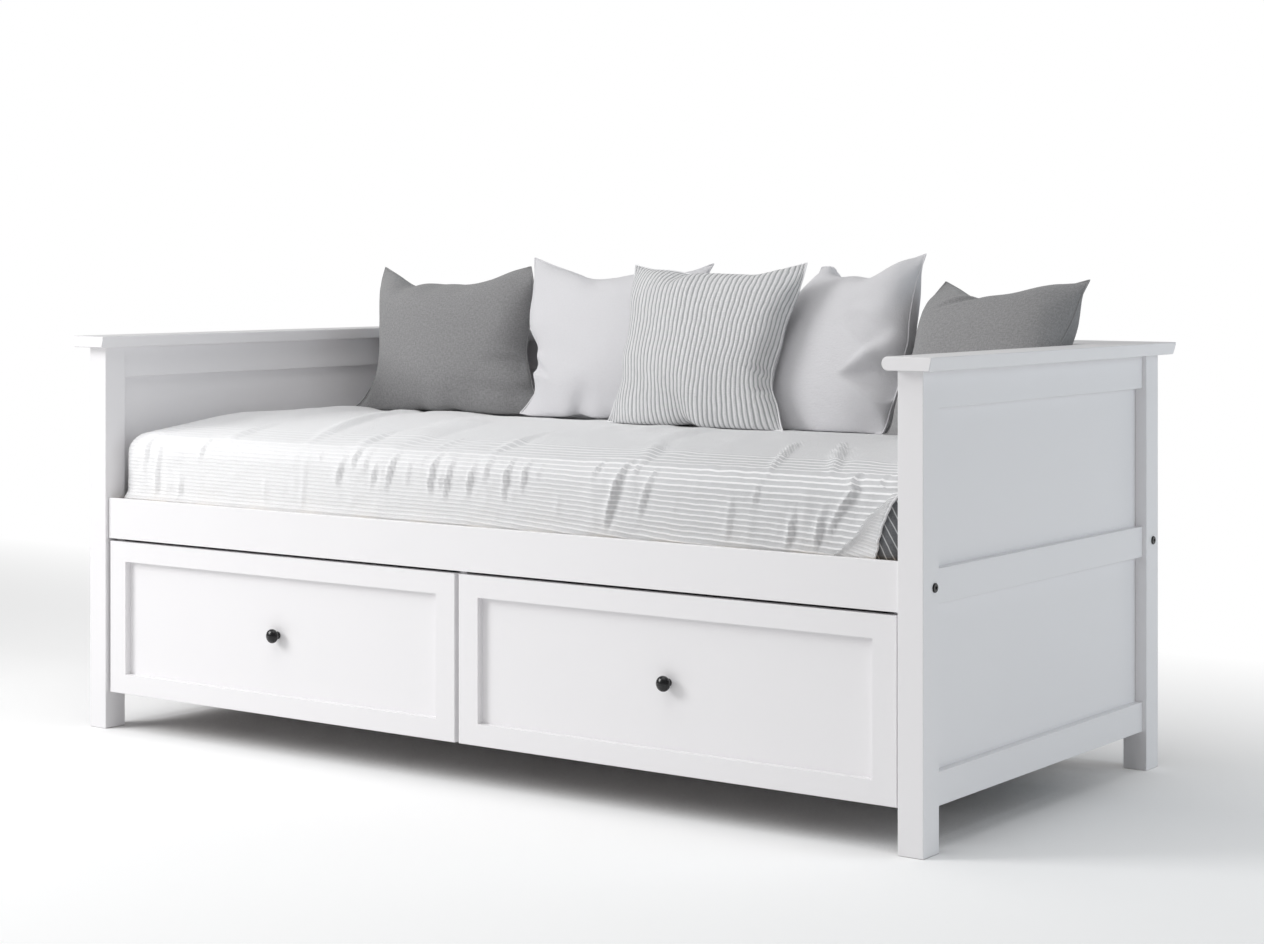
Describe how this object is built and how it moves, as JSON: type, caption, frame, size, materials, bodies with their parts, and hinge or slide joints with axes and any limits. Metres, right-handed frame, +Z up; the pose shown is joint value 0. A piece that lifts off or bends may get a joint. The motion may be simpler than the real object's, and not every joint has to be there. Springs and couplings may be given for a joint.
{
  "type": "sofa bed",
  "caption": "White wooden daybed with panelled ends and back, a pull-out slatted base with drawers and castors, mattresses, a bedspread and scatter cushions.",
  "frame": {"origin": "on the floor at the middle of the outline of the caps", "axes": "+X along the seat to the right end, +Y to the back, +Z up"},
  "size_m": [2.172, 1.03, 1.0409],
  "materials": {
    "white_painted_wood": "satin paint",
    "white_hardboard": "matt",
    "bare_pine": "matt",
    "black_metal": "gloss",
    "zinc_steel": "satin",
    "grey_plastic": "matt",
    "foam_in_ticking": "matt",
    "grey_linen": "matt",
    "off_white_cotton": "matt",
    "striped_cotton": "matt",
    "ribbed_cotton": "matt",
    "dark_striped_cotton": "matt"
  },
  "bodies": {
    "frame": {"back_bottom_rail": "white_painted_wood", "back_cap": "white_painted_wood", "back_lower_panel": "white_painted_wood", "back_mid_rail": "white_painted_wood", "back_slat_ledge": "bare_pine", "back_top_rail": "white_painted_wood", "back_upper_panel": "white_painted_wood", "barrel_nuts": "zinc_steel", "bedspread": "ribbed_cotton", "fixed_slats": "bare_pine", "frame_bolts": "black_metal", "front_left_post": "white_painted_wood", "front_right_post": "white_painted_wood", "inner_front_beam": "bare_pine", "left_end_bottom_rail": "white_painted_wood", "left_end_cap": "white_painted_wood", "left_end_lower_panel": "white_painted_wood", "left_end_mid_rail": "white_painted_wood", "left_end_top_rail": "white_painted_wood", "left_end_upper_panel": "white_painted_wood", "left_grey_cushion": "grey_linen", "lower_mattress": "foam_in_ticking", "middle_white_cushion": "off_white_cotton", "rear_left_post": "white_painted_wood", "rear_right_post": "white_painted_wood", "right_end_bottom_rail": "white_painted_wood", "right_end_cap": "white_painted_wood", "right_end_lower_panel": "white_painted_wood", "right_end_mid_rail": "white_painted_wood", "right_end_top_rail": "white_painted_wood", "right_end_upper_panel": "white_painted_wood", "right_grey_cushion": "grey_linen", "right_white_cushion": "off_white_cotton", "striped_cushion": "striped_cotton", "striped_sheet": "dark_striped_cotton", "upper_mattress": "foam_in_ticking"},
    "pull_out": {"front_rail": "white_painted_wood", "left_gable": "white_painted_wood", "right_gable": "white_painted_wood", "centre_divider": "white_painted_wood", "castor_rails": "white_painted_wood", "moving_slats": "bare_pine", "cabinet_runners": "bare_pine", "castor_forks": "zinc_steel"},
    "front_wheels": {"front_castor_wheels": "grey_plastic"},
    "rear_wheels": {"rear_castor_wheels": "grey_plastic"},
    "left_drawer": {"left_drawer_back": "white_painted_wood", "left_drawer_bottom": "white_hardboard", "left_drawer_front_frame": "white_painted_wood", "left_drawer_front_panel": "white_painted_wood", "left_drawer_inner_side": "white_painted_wood", "left_drawer_knob": "black_metal", "left_drawer_outer_side": "white_painted_wood"},
    "right_drawer": {"right_drawer_back": "white_painted_wood", "right_drawer_bottom": "white_hardboard", "right_drawer_front_frame": "white_painted_wood", "right_drawer_front_panel": "white_painted_wood", "right_drawer_inner_side": "white_painted_wood", "right_drawer_knob": "black_metal", "right_drawer_outer_side": "white_painted_wood"}
  },
  "joints": [
    {"name": "pull_out_slide", "type": "slide", "parent": "frame", "child": "pull_out", "axis": [0, -1, 0], "range_m": [0, 0.86]},
    {"name": "front_wheels_roll", "type": "hinge", "parent": "pull_out", "child": "front_wheels", "pos_m": [0, -0.1205, 0.0303], "axis": [1, 0, 0], "range_deg": [0, 1645]},
    {"name": "rear_wheels_roll", "type": "hinge", "parent": "pull_out", "child": "rear_wheels", "pos_m": [0, 0.37, 0.0303], "axis": [1, 0, 0], "range_deg": [0, 1645]},
    {"name": "left_drawer_slide", "type": "slide", "parent": "pull_out", "child": "left_drawer", "axis": [0, -1, 0], "range_m": [0, 0.45]},
    {"name": "right_drawer_slide", "type": "slide", "parent": "pull_out", "child": "right_drawer", "axis": [0, -1, 0], "range_m": [0, 0.45]}
  ],
  "couplings": [
    {"joint": "front_wheels_roll", "follows": "pull_out_slide", "rad_per_m": 33.333},
    {"joint": "rear_wheels_roll", "follows": "pull_out_slide", "rad_per_m": 33.333}
  ]
}
